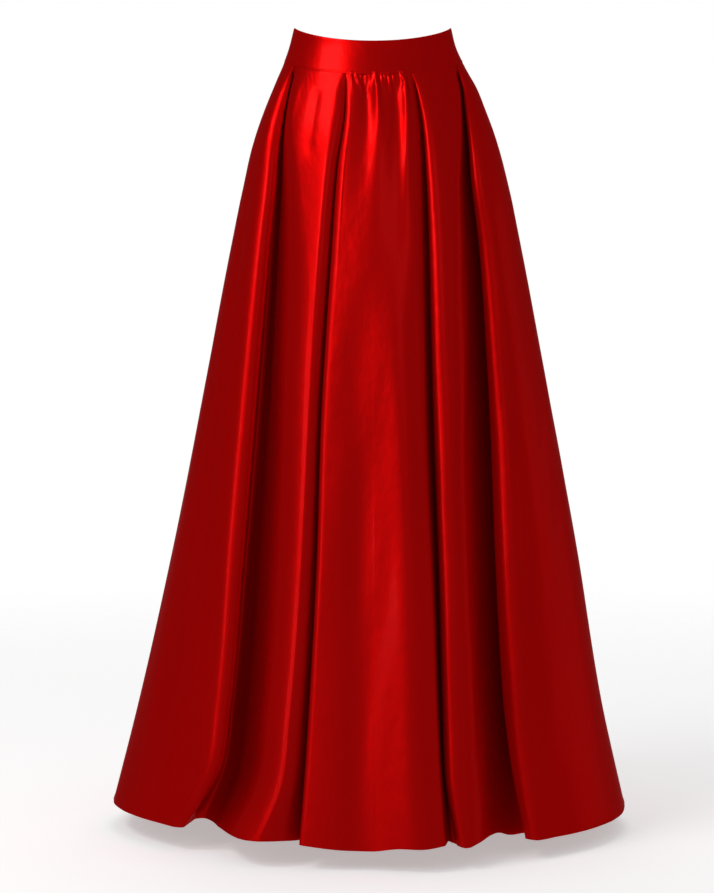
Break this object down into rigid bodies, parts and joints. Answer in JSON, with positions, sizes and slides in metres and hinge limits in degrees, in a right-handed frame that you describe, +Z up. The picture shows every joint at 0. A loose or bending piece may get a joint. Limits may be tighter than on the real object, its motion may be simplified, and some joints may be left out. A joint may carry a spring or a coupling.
{
  "type": "maxi skirt",
  "caption": "Floor-length satin skirt with a shaped waistband, deep soft pleats, a gathered centre front and a centre back zip.",
  "frame": {"origin": "middle of the waist opening, level with the band's top edge at the sides", "axes": "+Z up, towards the wearer's head; +Y towards the skirt's back, so the front faces -Y; +X towards the right of a viewer who faces the front"},
  "size_m": [0.7442, 0.7058, 1.12],
  "materials": {
    "satin": "glossy red satin",
    "zip_tape": "woven red tape",
    "zip_lacquer": "red lacquered metal"
  },
  "bodies": {
    "skirt": {"waistband": "satin", "skirt_front": "satin", "skirt_back_left": "satin", "skirt_back_right": "satin", "zip_tape": "zip_tape", "zip_slider": "zip_lacquer"},
    "pull": {"zip_pull": "zip_lacquer"}
  },
  "joints": [
    {"name": "pull_hinge", "type": "hinge", "parent": "skirt", "child": "pull", "pos_m": [0, 0.09914, -0.02876], "axis": [1, 0, 0], "range_deg": [0, 150]}
  ]
}
